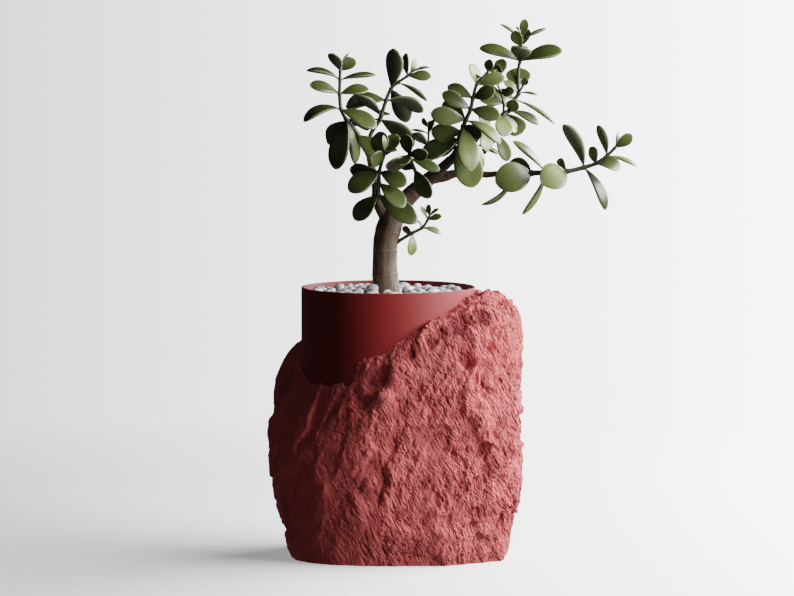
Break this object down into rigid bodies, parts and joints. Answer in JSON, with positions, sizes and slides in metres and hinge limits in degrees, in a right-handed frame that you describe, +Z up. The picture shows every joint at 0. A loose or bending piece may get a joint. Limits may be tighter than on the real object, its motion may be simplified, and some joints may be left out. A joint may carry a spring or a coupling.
{
  "type": "potted jade plant",
  "caption": "Jade plant with a bent bare trunk and fleshy oval leaves, in a plain cylindrical pot topped with pebbles and seated in a rough boulder-shaped stand.",
  "frame": {"origin": "on the floor under the pot's axis, in the middle of the stand's flat foot", "axes": "+Z up, -Y towards the viewer of the picture, +X to the viewer's right, along the longest branch"},
  "size_m": [0.4231, 0.2463, 0.6152],
  "materials": {
    "red_stone": "rough, matt",
    "red_ceramic": "smooth, matt",
    "soil": "crumbly",
    "pebble": "smooth, satin",
    "wood": "fine bark, matt",
    "leaf": "waxy, glossy"
  },
  "bodies": {
    "root": {"stand": "red_stone", "pot": "red_ceramic", "soil": "soil", "pebbles": "pebble", "trunk": "wood", "shoot_left": "leaf", "shoot_rear": "leaf", "shoot_front": "leaf", "shoot_centre": "leaf", "twig_low": "leaf", "twig_small": "leaf", "crown_left": "leaf", "crown_inner": "leaf", "crown_right": "leaf", "shoot_arm": "leaf"}
  },
  "joints": []
}
